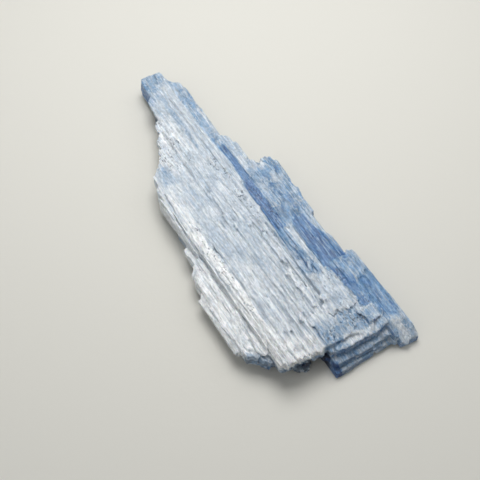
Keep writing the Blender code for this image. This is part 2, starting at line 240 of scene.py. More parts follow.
def splinterKind(number):
    # one unit-sized sliver, 1 wide, 1 long and 1 thick, whose top slopes down into the blade at one end
    draw = random.Random(splinter["seed"] + number)
    bpy.ops.mesh.primitive_cube_add(size=1.0)
    sliver = bpy.context.object
    sliver.name = f"sliver_{number}"
    bpy.ops.object.mode_set(mode="EDIT")
    high = draw.choice((-1, 1))
    trimSelected((0, high * 0.5, 0.5), (draw.uniform(-0.1, 0.1), -high * draw.uniform(0.06, 0.14), 1.0))
    for end in (-1, 1):
        trimSelected((0, end * 0.45, 0), (draw.uniform(-0.3, 0.3), end, draw.uniform(-0.1, 0.2)))
        trimSelected((0.25 * draw.choice((-1, 1)), end * 0.3, 0), (draw.choice((-1, 1)), end * 0.5, 0.1))
    for side in (-1, 1):
        trimSelected((side * 0.3, 0, 0.4), (side, 0, draw.uniform(0.6, 1.6)))
    bpy.ops.object.mode_set(mode="OBJECT")
    return sliver


def placed(kind, place):
    copy = bpy.data.objects.new(kind.name, kind.data.copy())
    copy.data.transform(place)
    bpy.context.scene.collection.objects.link(copy)
    return copy


def startOfRay(where, draw):
    # a point well outside the stone and the way to look from there
    x = draw.uniform(cadLow.x, cadHigh.x)
    y = draw.uniform(cadLow.y, cadHigh.y)
    z = draw.uniform(cadLow.z, cadHigh.z)
    away = 0.1
    if where == "above":
        return Vector((x, y, away)), Vector((0, 0, -1))
    if where == "below":
        return Vector((x, y, -away)), Vector((0, 0, 1))
    if where == "sides":
        side = draw.choice((-1, 1))
        return Vector((side * away, y, z)), Vector((-side, 0, 0))
    end = draw.choice((-1, -1, 1))
    return Vector((x, end * away, z)), Vector((0, -end, 0))


def fittingLength(surface, start, look, spot, normal, length):
    # a sliver is cut short until both of its ends lie over the same face
    step = splinter["largestStep"] * mm
    facing = max(0.2, abs(normal.dot(look)))
    while length > splinter["shortest"] * mm:
        level = True
        for end in (-0.52, -0.26, 0.26, 0.52):
            there = surface.ray_cast(start + Vector((0, end * length, 0)), look)[0]
            rise = abs(normal.y / facing * end * length)
            if there is None or abs((there - spot).dot(look)) > step + rise:
                level = False
        if level:
            return length
        length *= 0.7
    return 0.0


def scatterSplinters(body):
    draw = random.Random(splinter["seed"])
    kinds = [splinterKind(number) for number in range(splinter["kinds"])]
    bpy.context.view_layer.update()
    surface = BVHTree.FromObject(body, bpy.context.evaluated_depsgraph_get())
    slivers = []
    for where in ("above", "below", "sides", "ends"):
        for _ in range(splinter[where]):
            start, look = startOfRay(where, draw)
            width = draw.uniform(*splinter["width"]) * mm
            length = draw.uniform(*splinter["length"]) * mm
            stands = draw.uniform(*splinter["stands"]) * mm
            thick = splinter["thickness"] * mm
            yaw = math.radians(draw.uniform(-splinter["yaw"], splinter["yaw"]))
            kind = draw.choice(kinds)
            spot, normal, _face, _away = surface.ray_cast(start, look)
            if spot is None:
                continue
            x, y = spot.x / mm - growthOrigin.x, spot.y / mm - growthOrigin.y
            if any(x0 < x < x1 and y0 < y < y1 for x0, x1, y0, y1 in splinter["smoothEnds"]):
                continue
            if where == "ends":
                # short stubs that stick out of the broken ends
                length = draw.uniform(*splinter["stubLength"]) * mm
                out = draw.uniform(*splinter["stubOut"]) * mm
                tall = draw.uniform(*splinter["stubTall"]) * mm
                middle = spot - look * (out - length * 0.45)
                place = Matrix.Translation(middle) @ Matrix.Rotation(yaw * 4, 4, "Z")
                slivers.append(placed(kind, place @ Matrix.Diagonal((width, length, tall, 1.0))))
                continue
            if normal.dot(look) > -0.75:  # a sloping face stays bare
                continue
            length = fittingLength(surface, start, look, spot, normal, length)
            if not length:
                continue
            along = (Vector((math.sin(yaw), math.cos(yaw), 0)) - normal * normal.y).normalized()
            axes = Matrix((along.cross(normal).normalized(), along, normal)).transposed().to_4x4()
            place = Matrix.Translation(spot + normal * (stands - thick / 2)) @ axes
            slivers.append(placed(kind, place @ Matrix.Diagonal((width, length, thick, 1.0))))
    for x, y, top, width, length, height in splinter["bridges"]:
        place = Matrix.Translation((Vector((x, y, top - height / 2)) + growthOrigin) * mm)
        slivers.append(placed(kinds[0], place @ Matrix.Diagonal((width * mm, length * mm, height * mm, 1.0))))
    for kind in kinds:
        bpy.data.objects.remove(kind)
    return slivers


# flakes: thin curled scales with ragged outlines, where the cleavage has lifted

flake = {
    "kinds": 5,
    "seed": 21,
    "across": (0.5, 1.7),  # mm
    "longer": 1.4,  # how much longer than wide they are on average
    "thickness": 0.3,
    "stands": (0.015, 0.05),
    "turn": 0.5,  # radians
    "patches": [  # how many, and the outline of the patch they lie in, in mm from growthOrigin
        (70, [(5.4, 8.6), (8.4, 8.2), (10.0, 4.5), (10.0, -2.0), (5.4, -2.3)]),
        (12, [(7.8, -11.0), (10.3, -11.0), (10.5, -13.8), (8.4, -14.6)]),
        (26, [(6.0, -16.6), (8.6, -17.0), (8.8, -20.2), (5.8, -20.2)]),
        (34, [(0.2, -17.2), (6.2, -17.4), (6.2, -20.4), (0.0, -20.4)]),
        (30, [(3.2, -10.8), (6.6, -12.4), (7.0, -17.2), (3.0, -17.2)]),
        (26, [(-7.0, -15.6), (0.0, -15.6), (-0.4, -19.6), (-4.4, -20.2), (-7.6, -18.4)]),
        (40, [(-1.0, 2.0), (3.4, 2.0), (3.0, -14.0), (-1.0, -14.0)]),
        (18, [(-4.4, 14.0), (-1.0, 23.0), (1.0, 20.0), (-1.0, 12.0)]),
        (14, [(8.8, -21.4), (10.3, -21.8), (10.8, -23.8), (9.2, -24.6)]),
    ],
}


def flakeKind(number):
    # a unit-sized ragged scale, thinned towards one side
    draw = random.Random(flake["seed"] + number)
    bpy.ops.mesh.primitive_circle_add(vertices=11, radius=0.5, fill_type="NGON")
    scale = bpy.context.object
    scale.name = f"scale_{number}"
    for corner in scale.data.vertices:
        corner.co *= draw.uniform(0.55, 1.15)
    bpy.ops.object.mode_set(mode="EDIT")
    bpy.ops.mesh.select_all(action="SELECT")
    bpy.ops.mesh.extrude_region_move(TRANSFORM_OT_translate={"value": (0, 0, -1)})
    bpy.ops.mesh.select_all(action="SELECT")
    bpy.ops.mesh.normals_make_consistent(inside=False)
    bpy.ops.transform.translate(value=(0, 0, 0.5))
    side = draw.uniform(0, 2 * math.pi)
    trimSelected((0, 0, 0.46), (0.12 * math.cos(side), 0.12 * math.sin(side), 1.0))
    bpy.ops.object.mode_set(mode="OBJECT")
    return scale


def scatterFlakes(body):
    draw = random.Random(flake["seed"])
    kinds = [flakeKind(number) for number in range(flake["kinds"])]
    bpy.context.view_layer.update()
    surface = BVHTree.FromObject(body, bpy.context.evaluated_depsgraph_get())
    scales = []
    for count, outline in flake["patches"]:
        xs, ys = zip(*outline)
        for _ in range(count):
            x, y = draw.uniform(min(xs), max(xs)), draw.uniform(min(ys), max(ys))
            kind = draw.choice(kinds)
            wide, long = draw.uniform(*flake["across"]), draw.uniform(*flake["across"])
            stands, turn = draw.uniform(*flake["stands"]), draw.uniform(-flake["turn"], flake["turn"])
            if insideDistance(np.array([x]), np.array([y]), outline)[0] < 0:
                continue
            start = Vector((x, y, 100.0)) + growthOrigin
            spot, normal, _face, _away = surface.ray_cast(start * mm, Vector((0, 0, -1)))
            if spot is None or normal.z < 0.8:
                continue
            along = (Vector((math.sin(turn), math.cos(turn), 0)) - normal * normal.y).normalized()
            axes = Matrix((along.cross(normal).normalized(), along, normal)).transposed().to_4x4()
            place = Matrix.Translation(spot + normal * (stands - flake["thickness"] / 2) * mm) @ axes
            size = Matrix.Diagonal((wide * mm, long * flake["longer"] * mm, flake["thickness"] * mm, 1.0))
            scales.append(placed(kind, place @ size))
    for kind in kinds:
        bpy.data.objects.remove(kind)
    return scales


# one skin over body, splinters and flakes, then the fine relief

skin = {
    "cell": 0.075,  # mm, a cell's size across the blades
    "squeeze": 0.40,  # and that size as a share of its length along them
    "evenRounds": 22,  # of smoothing
    "calmRounds": 6,
    "triangles": 190000,
    "sharpFrom": 38,  # degrees
}


def growTogether(body, slivers):
    deselectAll()
    for sliver in slivers:
        sliver.select_set(True)
    body.select_set(True)
    bpy.context.view_layer.objects.active = body
    bpy.ops.object.join()
    body.data.transform(Matrix.Diagonal((1.0, skin["squeeze"], 1.0, 1.0)))
    applyModifier(body, "REMESH", mode="VOXEL", voxel_size=skin["cell"] * mm, adaptivity=0.0)
    body.data.transform(Matrix.Diagonal((1.0, 1 / skin["squeeze"], 1.0, 1.0)))


# thin dark seams between blades: how open each is, and its line in mm from growthOrigin
seams = {
    "besideRib": (0.6, [
        (-6.1, 9.5), (-6.05, 7.0), (-6.35, 4.1), (-6.5, 1.6), (-6.45, -0.9), (-6.35, -3.4), (-6.25, -5.9),
        (-6.3, -9.1), (-5.95, -10.8), (-6.05, -14.8), (-6.45, -17.5)]),
    "rightOfRib": (0.8, [
        (-4.6, 4.0), (-4.55, 1.7), (-4.6, -0.7), (-4.75, -3.5), (-4.65, -6.8), (-4.75, -9.9)]),
    "flap": (0.3, [
        (-6.6, 9.5), (-6.75, 5.5), (-7.0, 2.8), (-7.15, 0.4), (-7.6, -4.5), (-7.95, -9.5), (-7.3, -13.4),
        (-7.4, -16.0), (-7.1, -18.1)]),
    "middleStep": (0.5, [
        (0.5, 9.4), (0.5, 4.6), (0.45, 1.5), (0.2, -0.9), (0.4, -2.5), (0.45, -6.1), (0.65, -8.4)]),
    "tipLine": (0.3, [(2.75, 24.9), (2.4, 19.8), (2.05, 15.9), (2.05, 14.5)]),
    "secondTipLine": (0.3, [(3.1, 24.0), (2.85, 18.5), (2.75, 14.4), (2.45, 10.0)]),
    "bulge": (0.5, [(-9.4, -8.6), (-9.45, -10.5), (-9.4, -13.3), (-9.3, -15.2)]),
    "corner": (0.8, [(2.4, -16.9), (2.8, -17.7), (3.6, -17.2), (4.4, -18.0), (4.8, -19.3)]),
    "stripEdge": (0.5, [(5.6, 12.4), (5.45, 7.7), (5.75, 4.0), (5.35, 0.8), (5.6, -2.4)]),
    "longSplinter": (0.6, [(6.1, -2.8), (6.05, -5.6), (5.95, -8.6), (6.1, -10.4)]),
}
seam = {
    "wide": 0.10,  # mm
    "deep": 0.12,
    "lowest": 1.8,  # the height above which seams gape
    "bends": [((0.6, 1.9, 0.6), 0.4, 7), ((0.3, 0.5, 0.3), 0.2, 8)],
    "stretches": (1.0, 2.2, 1.0),  # how long a seam stays open or shut
    "dirt": 0.9,
    "dirtWide": 0.11,
}

# dark patches on the broken edges: loose dirt and bruised grey, and painted shade in the notch under the pale
# sheet's end, at the foot of the broken end and low on the wall near the tip; outline, highest z and how much
dirtAndShadePlaces = [
    ([(-10.5, -12.0), (-8.6, -15.6), (-7.0, -17.0), (-7.0, -22.0), (-10.5, -22.0)], 2.4, 0.7),
    # the foot of the broken end: dirt, with painted shade under the pale sheet
    ([(-7.0, -17.0), (-4.6, -18.0), (0.3, -18.2), (0.3, -22.0), (-7.0, -22.0)], 3.2, 1.2),
    # painted shade in the notch under the pale sheet's end
    ([(-3.5, -21.6), (-0.1, -21.6), (-0.1, -17.0), (-3.5, -17.0)], 2.7, 2.0),
    ([(-0.2, -20.6), (5.0, -20.8), (5.0, -24.0), (-0.2, -24.0)], 2.6, 0.35),
    ([(5.6, 5.6), (8.4, 5.0), (8.8, -2.0), (5.6, -2.0)], 9.0, 0.22),
    # the low wall near the tip: dirt, with painted shade
    ([(-1.6, 18.2), (-0.3, 20.5), (0.3, 23.0), (-0.6, 23.6), (-2.8, 20.0), (-2.6, 18.2)], 3.12, 1.25),
]
# dark partings between the layers of the thick end
partings = {
    "outline": [(-0.4, -20.4), (8.7, -20.6), (8.7, -24.5), (-0.4, -24.5)],
    "heights": [0.5, 1.1, 1.6, 2.0, 2.75],  # mm
    "wide": 0.08,
    "bends": [((2.5, 2.5, 9.0), 0.25, 63), ((0.4, 0.4, 9.0), 0.08, 64)],
    "stretches": (0.9, 2.0, 0.4),  # how long a parting stays open or shut
    "dirt": 0.8,
}
# where small dark pits cluster: how many, and the outline
pittedPlaces = [
    (0.15, [(-12.0, 31.0), (12.0, 31.0), (12.0, -26.0), (-12.0, -26.0)]),
    (1.0, [(-4.0, 16.5), (-0.6, 21.5), (1.2, 19.0), (1.2, 12.5), (-3.6, 12.5)]),
    (0.8, [(1.6, 13.0), (3.6, 12.0), (3.4, -2.0), (3.0, -10.0), (1.6, -10.0)]),
    (1.0, [(-6.3, 3.0), (-4.8, 3.0), (-4.9, -12.0), (-6.3, -12.0)]),
    (0.5, [(1.0, -9.0), (6.0, -11.0), (6.6, -17.0), (0.0, -17.0)]),
    (0.7, [(4.4, 13.0), (5.5, 13.0), (5.7, 4.0), (5.6, -3.0), (3.6, -3.0), (4.2, 6.0)]),
    (0.7, [(5.8, -10.0), (8.0, -11.0), (9.0, -18.6), (6.6, -18.6)]),
    (0.8, [(-0.2, -17.2), (6.2, -17.2), (6.3, -20.6), (-0.2, -20.6)]),
]


def nearSeams(spots, wide):
    x = spots[:, 0] + wander(spots, seam["bends"])
    fade = smoothNoise(spots, seam["stretches"], 9) * 2.2 - 0.5
    share = np.zeros(len(spots))
    for gape, line in seams.values():
        away = lineDistance(x, spots[:, 1], line)
        share = np.maximum(share, gape * np.clip(1.6 - 1.6 * away / wide, 0, 1))
    return share * np.clip(fade, 0.1, 1) * (spots[:, 2] > seam["lowest"])


# height is how far the relief goes out and in together, and size its grain, in mm
relief = {
    "wander": {"kind": "CLOUDS", "size": (0.9, 2.4, 0.9), "height": 0.26, "way": "X"},
    "ragged": {"kind": "CLOUDS", "size": (0.35, 1.6, 0.5), "height": 0.5, "way": "Y"},
    "terraces": {"kind": "VORONOI", "size": (0.8, 15.0, 0.8), "height": 0.04},
    "furrows": {"kind": "CLOUDS", "size": (0.4, 9.0, 0.4), "height": 0.06},
    "fibres": {"kind": "CLOUDS", "size": (0.17, 4.0, 0.17), "height": 0.03},
}
grainTurn = 0.4  # degrees between the relief's grain and the blades

# where the relief stays low: the clean cleavage of the thick end and of the tip, in mm from growthOrigin
calmPlaces = [
    [(-1.2, -19.8), (5.0, -20.3), (9.2, -20.3), (11.8, -19.4), (11.8, -26.0), (-1.2, -26.0)],
    [(-2.0, 25.6), (6.0, 25.6), (6.0, 31.0), (-2.0, 31.0)],
]
# the pale sheet, whose laths have grown almost level with each other
evenPlaces = [
    [(-5.2, 10.0), (-2.6, 16.0), (-0.6, 24.0), (1.2, 28.0), (3.8, 28.0), (3.9, 12.0), (3.4, 0.0), (3.2, -7.0),
     (4.6, -10.0), (6.6, -14.0), (6.0, -17.2), (-0.6, -18.8), (-4.6, -18.8), (-4.3, 6.0)],
    [(-8.6, -3.0), (-6.6, -3.0), (-6.5, -9.0), (-6.3, -17.0), (-8.2, -15.6), (-9.6, -13.0), (-9.6, -8.0)],
    [(7.6, -9.6), (9.9, -9.6), (10.6, -13.6), (10.4, -17), (8.4, -17), (7.6, -14)],
    [(3.2, -8.0), (6.5, -8.0), (6.6, -13.0), (3.2, -13.0)],
    [(5.6, -17.4), (8.6, -17.4), (8.8, -20.0), (5.6, -20.0)],
]


def growthPlaces(piece):
    places = np.empty(len(piece.data.vertices) * 3)
    piece.data.vertices.foreach_get("co", places)
    return places.reshape(-1, 3) / mm - np.array(growthOrigin)


def facings(piece):
    normals = np.empty(len(piece.data.vertices) * 3)
    piece.data.vertices.foreach_get("normal", normals)
    return normals.reshape(-1, 3)


def depthInside(spots, outlines, soft):
    share = np.zeros(len(spots))
    for outline in outlines:
        share = np.maximum(share, np.clip(insideDistance(spots[:, 0], spots[:, 1], outline) / soft, 0, 1))
    return share


def markGroup(piece, name, weights):
    # a group takes one weight at a time, so the weights go in as sixteenths
    group = piece.vertex_groups.new(name=name)
    steps = np.round(weights * 16).astype(int)
    for step in range(1, 17):
        group.add(np.nonzero(steps == step)[0].tolist(), step / 16, "REPLACE")


def levelSheet(body):
    spots = growthPlaces(body)
    even = depthInside(spots, evenPlaces, 0.5) * np.clip((facings(body)[:, 2] + 0.2) / 0.5, 0, 1)
    # the sheet grows rougher towards its broken end
    rougher = np.clip((4 - spots[:, 1]) / 8, 0, 1)
    lively = np.minimum(1 - (0.5 - 0.4 * rougher) * even, 1 - 0.85 * depthInside(spots, calmPlaces, 0.4))
    markGroup(body, "lively", lively)
    markGroup(body, "even", even * (spots[:, 2] > 1.5))
    applyModifier(body, "SMOOTH", factor=0.5, iterations=skin["evenRounds"], use_x=False, use_y=False,
                  vertex_group="even")
    markGroup(body, "calm", depthInside(spots, calmPlaces, 0.4))
    applyModifier(body, "SMOOTH", factor=0.5, iterations=skin["calmRounds"], vertex_group="calm")
    markGroup(body, "seam", nearSeams(spots, seam["wide"]) * (facings(body)[:, 2] > 0.3))
    applyModifier(
        body, "DISPLACE", strength=-seam["deep"] * mm, mid_level=0.0, direction="Z", vertex_group="seam",
    )


def stretchedTexture(name, form):
    texture = bpy.data.textures.new(name, form["kind"])
    if form["kind"] == "VORONOI":
        texture.color_mode = "POSITION"
    texture.noise_scale = 1.0
    guide = bpy.data.objects.new(name + "_guide", None)
    bpy.context.scene.collection.objects.link(guide)
    guide.scale = [side * mm for side in form["size"]]
    guide.rotation_euler = (0.0, 0.0, math.radians(grainTurn))
    return texture, guide


def carveRelief(body):
    for name, form in relief.items():
        texture, guide = stretchedTexture(name, form)
        bpy.context.view_layer.update()
        applyModifier(
            body, "DISPLACE", texture=texture, texture_coords="OBJECT", texture_coords_object=guide,
            strength=form["height"] * mm, mid_level=0.5, direction=form.get("way", "NORMAL"),
            vertex_group="lively",
        )
        bpy.data.objects.remove(guide)
        bpy.data.textures.remove(texture)


def thinOut(body):
    body.data.calc_loop_triangles()
    count = len(body.data.loop_triangles)
    print("triangles before thinning", count)
    if count > skin["triangles"]:
        applyModifier(body, "DECIMATE", ratio=skin["triangles"] / count, use_collapse_triangulate=True)
    places = np.empty(len(body.data.vertices) * 3, np.float32)
    body.data.vertices.foreach_get("co", places)
    places = places.reshape(-1, 3)
    places[:, 2] = np.maximum(places[:, 2], 0.0)  # nothing reaches below the floor
    body.data.vertices.foreach_set("co", places.ravel())
    body.data.update()
    body.data.calc_loop_triangles()
    print("triangles", len(body.data.loop_triangles))


stone = weldedCopy()
drawOut(stone)
breakOff(stone)
print("solid copied")
slivers = scatterSplinters(stone)
print("splinters placed", len(slivers))
scales = scatterFlakes(stone)
print("flakes placed", len(scales))
growTogether(stone, slivers + scales)
levelSheet(stone)
print("grown together")
carveRelief(stone)
print("relief carved")
thinOut(stone)
useOnly(stone)
bpy.ops.object.shade_smooth_by_angle(angle=math.radians(skin["sharpFrom"]))


# where the stone is blue, with painted shade in some low zones: 0 is milk white, 1 deep blue, and more is
# darker still

paleBlue = 0.19  # what has no zone of its own
zoneBends = [((0.35, 2.6, 0.5), 1.0, 40), ((0.18, 0.9, 0.3), 0.6, 90)]  # fibres that cross a zone's edge

# Outlines are in mm from growthOrigin. "soft" is the width of the edge, "ragged" how far fibres cross it,
# and "heights" limits a zone to a layer. Later zones lie over earlier ones.
zones = {
    "blueSide": {
        "blue": 0.55, "soft": 0.15, "ragged": 0.15,
        "outline": [(4.3, 31), (4.3, 13), (4.6, 12), (4.65, 9.4), (4.4, 6.8), (4.05, 4.5), (3.9, 2),
                    (3.8, -1), (3.7, -3), (3.5, -6), (3.2, -8), (3.0, -11),
                    (3.3, -18), (0.3, -18.6), (-0.7, -20.5), (-0.8, -26), (13, -26), (13, 31)],
    },
    "upperStrip": {
        "blue": 0.52, "soft": 0.2, "ragged": 0.2,
        "outline": [(4.4, 25.2), (5.8, 24.8), (5.8, 17.5), (5.8, 12.5), (4.6, 13.4), (4.2, 22.8)],
    },
    "upperFringe": {
        "blue": 0.28, "soft": 0.3, "ragged": 0.3,
        "outline": [(5.5, 20.0), (6.6, 20.0), (7.6, 12.3), (8.6, 8.2), (8.0, 7.4), (5.7, 6.6), (5.4, 9.2),
                    (5.35, 12.0), (5.4, 14.8)],
    },
    "deepStrip": {
        "blue": 1.15, "soft": 0.12, "ragged": 0.12,
        "outline": [(4.6, 13.0), (5.4, 12.6), (5.5, 9.2), (5.75, 6.4), (5.5, 3.9), (5.45, 1.2), (5.65, -1.5),
                    (5.5, -2.8), (3.7, -3.2), (3.9, 0.5), (4.05, 4.0), (4.5, 7.0), (4.7, 9.6)],
    },
    "mottled": {
        "blue": 0.66, "soft": 0.2, "ragged": 0.3,
        "outline": [(5.6, 7.6), (8.9, 8.4), (9.0, -2.5), (5.4, -2.3), (5.5, 3.0)],
    },
    "paleWedge": {
        "blue": 0.22, "soft": 0.2, "ragged": 0.25,
        "outline": [(8.5, 5.8), (9.8, 4.9), (9.2, 3.2), (7.8, 4.1)],
    },
    "paleBlade": {
        "blue": 0.27, "soft": 0.2, "ragged": 0.25,
        "outline": [(7.2, 8.8), (8.8, 8.2), (8.1, 6.3), (6.9, 7.0)],
    },
    "lobe": {
        "blue": 0.6, "soft": 0.2, "ragged": 0.1,
        "outline": [(8.9, 7.6), (9.8, 8.2), (10.6, 7.0), (10.5, 4.6), (9.8, 4.0), (9.1, 5.3)],
    },
    "edgeBands": {
        "blue": 0.7, "soft": 0.2, "ragged": 0.2,
        "outline": [(8.8, 3.6), (10.2, 3.6), (10.0, -1.6), (8.8, -1.2)],
    },
    "paleBand": {
        "blue": 0.3, "soft": 0.2, "ragged": 0.1,
        "outline": [(8.8, 1.6), (10.2, 2.0), (10.1, 1.3), (8.8, 0.9)],
    },
    "lowBand": {
        "blue": 0.3, "soft": 0.2, "ragged": 0.1,
        "outline": [(8.8, 0.1), (10, 0.0), (10, -0.5), (8.8, -0.6)],
    },
    "deepFlat": {
        "blue": 1.1, "soft": 0.2, "ragged": 0.15,
        "outline": [(6.4, -2.4), (8.4, -2.3), (9.0, -5.4), (9.8, -10.4), (6.1, -10.5), (6.3, -8.2),
                    (6.4, -5.3)],
    },
    "edgeStreak": {
        "blue": 0.5, "soft": 0.15, "ragged": 0.15,
        "outline": [(8.5, -1.8), (9.3, -1.8), (9.4, -6.5), (8.9, -5.6), (8.4, -4.2)],
    },
    "midBlue": {
        "blue": 0.62, "soft": 0.2, "ragged": 0.3,
        "outline": [(3.6, -3.4), (5.3, -3.4), (5.3, -10.1), (3.5, -10.8), (3.2, -7.6)],
    },
    "paleSplinter": {
        "blue": 0.22, "soft": 0.12, "ragged": 0.15,
        "outline": [(5.1, -3.0), (6.1, -3.0), (6.1, -5.6), (5.9, -8.6), (6.1, -11.6), (5.5, -12.1),
                    (5.2, -8.6)],
    },
    "deepLower": {
        "blue": 1.05, "soft": 0.2, "ragged": 0.25,
        "outline": [(6.2, -10.3), (7.6, -11.0), (8.3, -13.3), (8.6, -16.5), (8.3, -18.6), (6.8, -17.7),
                    (6.7, -14.9), (7.0, -12.6)],
    },
    "rightStrip": {
        "blue": 0.9, "soft": 0.3, "ragged": 0.3,
        "outline": [(8.6, -14.4), (11.2, -13.0), (11.2, -21.0), (8.6, -21.0), (7.8, -18)],
    },
    "raggedPatch": {
        "blue": 0.7, "soft": 0.2, "ragged": 0.3,
        "outline": [(7.0, -10.7), (9.4, -10.9), (10.9, -10.2), (10.9, -14.6), (10.6, -16.1), (9.6, -14.0),
                    (8.3, -12.9)],
    },
    "lowerPale": {
        "blue": 0.22, "soft": 0.3, "ragged": 0.4,
        "outline": [(2.9, -10.8), (6.1, -11.8), (6.7, -14.0), (7.0, -16.6), (6.2, -17.8), (2.9, -17.6)],
    },
    "deck": {
        "blue": 0.45, "soft": 0.5, "ragged": 0.5,
        "outline": [(-0.3, -17.6), (6.2, -17.7), (6.3, -20.6), (-0.3, -20.6)],
    },
    "deckLobe": {
        "blue": 0.36, "soft": 0.15, "ragged": 0.15,
        "outline": [(5.9, -18.2), (8.3, -18.2), (8.5, -20.2), (7.4, -20.8), (6.2, -20.4)],
    },
    "ledge": {
        "blue": 0.15, "soft": 0.15, "ragged": 0.2,
        "outline": [(2.2, -20.4), (4.3, -20.4), (7.0, -20.8), (7.0, -21.6), (2.3, -21.7)],
    },
    "endPale": {
        "blue": 0.32, "soft": 0.3, "ragged": 0.3,
        "outline": [(8.8, -21.6), (9.9, -20.9), (10.6, -21.8), (11.6, -22.8), (11.8, -25), (9.2, -25)],
    },
    "cornerTongue": {
        "blue": 0.14, "soft": 0.15, "ragged": 0.25,
        "outline": [(9.1, -21.3), (10.1, -21.8), (10.3, -23.0), (10.2, -24.3), (9.0, -24.5), (9.4, -23.0)],
    },
    "cornerWall": {
        "blue": 0.7, "soft": 0.2, "ragged": 0.1, "heights": (-1.0, 1.0),
        "outline": [(8.0, -20.0), (12.0, -20.0), (12.0, -26), (8.0, -26)],
    },
    "blockEnd": {
        "blue": 0.55, "soft": 0.15, "ragged": 0.1, "heights": (-1.0, 2.3),
        "outline": [(-0.8, -20.5), (5.2, -20.5), (5.2, -25), (-0.8, -25)],
    },
    "blockEndRight": {
        "blue": 0.4, "soft": 0.15, "ragged": 0.1, "heights": (-1.0, 2.3),
        "outline": [(5.2, -20.5), (8.6, -20.5), (8.6, -25), (5.2, -25)],
    },
    # the block's left wall in the notch: deep blue, painted near-black as the shade there
    "blockWallBlueAndShade": {
        "blue": 1.5, "soft": 0.1, "ragged": 0.1, "heights": (-1.0, 3.3),
        "outline": [(-1.0, -18.6), (0.25, -18.6), (0.25, -24), (-1.0, -24)],
    },
    # the tip's left wall: the blue inside, painted darker as the shade on it
    "tipWallBlueAndShade": {
        "blue": 0.85, "soft": 0.2, "ragged": 0.1, "heights": (-1.0, 3.3),
        "outline": [(-1.5, 24.6), (1.2, 24.6), (1.6, 29.8), (-1.5, 29.8)],
    },
    # painted shade at the foot of the tip's left wall
    "tipFootShade": {
        "blue": 1.35, "soft": 0.2, "ragged": 0.1, "heights": (-1.0, 1.1),
        "outline": [(-1.5, 23.6), (1.2, 23.6), (1.6, 29.8), (-1.5, 29.8)],
    },
    "tip": {
        "blue": 0.4, "soft": 0.5, "ragged": 0.35,
        "outline": [(-0.6, 24.6), (0.3, 24.2), (0.7, 26.2), (2.8, 26.2), (4.2, 26.8), (4.6, 30), (-1.0, 30)],
    },
    "tipMargin": {
        "blue": 0.68, "soft": 0.25, "ragged": 0.15,
        "outline": [(-0.6, 24.4), (0.6, 24.2), (1.3, 26.4), (1.5, 28.4), (1.2, 30), (-1.0, 30)],
    },
    "tipStreak": {
        "blue": 0.36, "soft": 0.3, "ragged": 0.2,
        "outline": [(1.6, 25.5), (2.4, 25.5), (2.3, 14.4), (1.6, 14.4)],
    },
    "upperMilk": {
        "blue": 0.12, "soft": 1.2, "ragged": 0.6,
        "outline": [(-0.4, 23.5), (0.6, 20.0), (-1.4, 10.0), (-4.4, 4.0), (-5.4, 6.0), (-7.5, 10.0),
                    (-5.5, 16.0)],
    },
    "bluePatch": {
        "blue": 0.36, "soft": 0.4, "ragged": 0.4,
        "outline": [(-5.4, 13.6), (-3.8, 13.6), (-3.7, 10.4), (-5.3, 10.6)],
    },
    "milkPatch": {
        "blue": 0.11, "soft": 0.8, "ragged": 0.6,
        "outline": [(-3.3, 16.2), (-0.3, 21.8), (1.3, 20.2), (1.2, 14.2), (-3, 14.2)],
    },
    "lowerMilk": {
        "blue": 0.02, "soft": 1.2, "ragged": 0.6,
        "outline": [(-11, 4), (-6.2, 4), (-6.2, -8), (-5.4, -13), (-3.0, -17), (-0.5, -18), (-0.5, -22),
                    (-11, -22)],
    },
    "highRib": {
        "blue": 0.06, "soft": 0.25, "ragged": 0.25,
        "outline": [(-5.9, 9.3), (-5.3, 8.9), (-4.9, 4.0), (-5.0, 0.0), (-6.4, 0.0), (-6.2, 4.1)],
    },
    "whiteRib": {
        "blue": -0.04, "soft": 0.25, "ragged": 0.25,
        "outline": [(-5.2, 2.0), (-5.0, -2.0), (-4.9, -6.5), (-4.9, -10.0), (-5.2, -14.5), (-5.4, -18.6),
                    (-6.5, -18.6), (-6.3, -13.0), (-6.1, -8.9), (-6.2, -5.5), (-6.3, -1.2), (-6.1, 2.0)],
    },
    "flap": {
        "blue": 0.06, "soft": 0.3, "ragged": 0.2,
        "outline": [(-8.4, 9.6), (-6.3, 9.6), (-6.4, 4.0), (-6.6, -1.5), (-8.8, -3.0)],
    },
    "centre": {
        "blue": 0.21, "soft": 1.4, "ragged": 0.6,
        "outline": [(-4.0, 11.2), (0.2, 11.2), (0.4, -2.0), (-0.6, -9.0), (-1.9, -14.0), (-3.6, -10.0),
                    (-4.3, -2.0)],
    },
    "lowerSheet": {
        "blue": 0.13, "soft": 1.0, "ragged": 0.6,
        "outline": [(0.6, -3.5), (2.8, -3.5), (2.6, -10), (2.2, -17), (-4.0, -17), (-4.6, -8), (-4.2, -3),
                    (-0.2, -9)],
    },
    # the lower broken end: blue-grey crystal under the pale sheet, painted darker as the shade there
    "brokenEndBlueAndShade": {
        "blue": 0.36, "soft": 0.3, "ragged": 0.3, "heights": (-1.0, 3.3),
        "outline": [(-9.6, -15.4), (-6.6, -17.6), (-4.4, -18.4), (0.4, -18.0), (0.4, -22), (-10, -22)],
    },
    # painted shade in the notch under the pale sheet's end
    "notchShade": {
        "blue": 1.5, "soft": 0.1, "ragged": 0.1, "heights": (-1.0, 2.5),
        "outline": [(-3.6, -21.6), (-0.2, -21.6), (-0.2, -16.6), (-3.6, -16.6)],
    },
    "lowerLayers": {
        "blue": 0.26, "soft": 0.2, "ragged": 0.2, "heights": (-1.0, 1.4),
        "outline": [(-12, 26), (0.6, 28), (-0.6, -18.5), (-0.6, -24), (-12, -24)],
    },
    # painted shade in the crevice low on the left broken end
    "creviceShade": {
        "blue": 1.3, "soft": 0.2, "ragged": 0.2, "heights": (-1.0, 1.5),
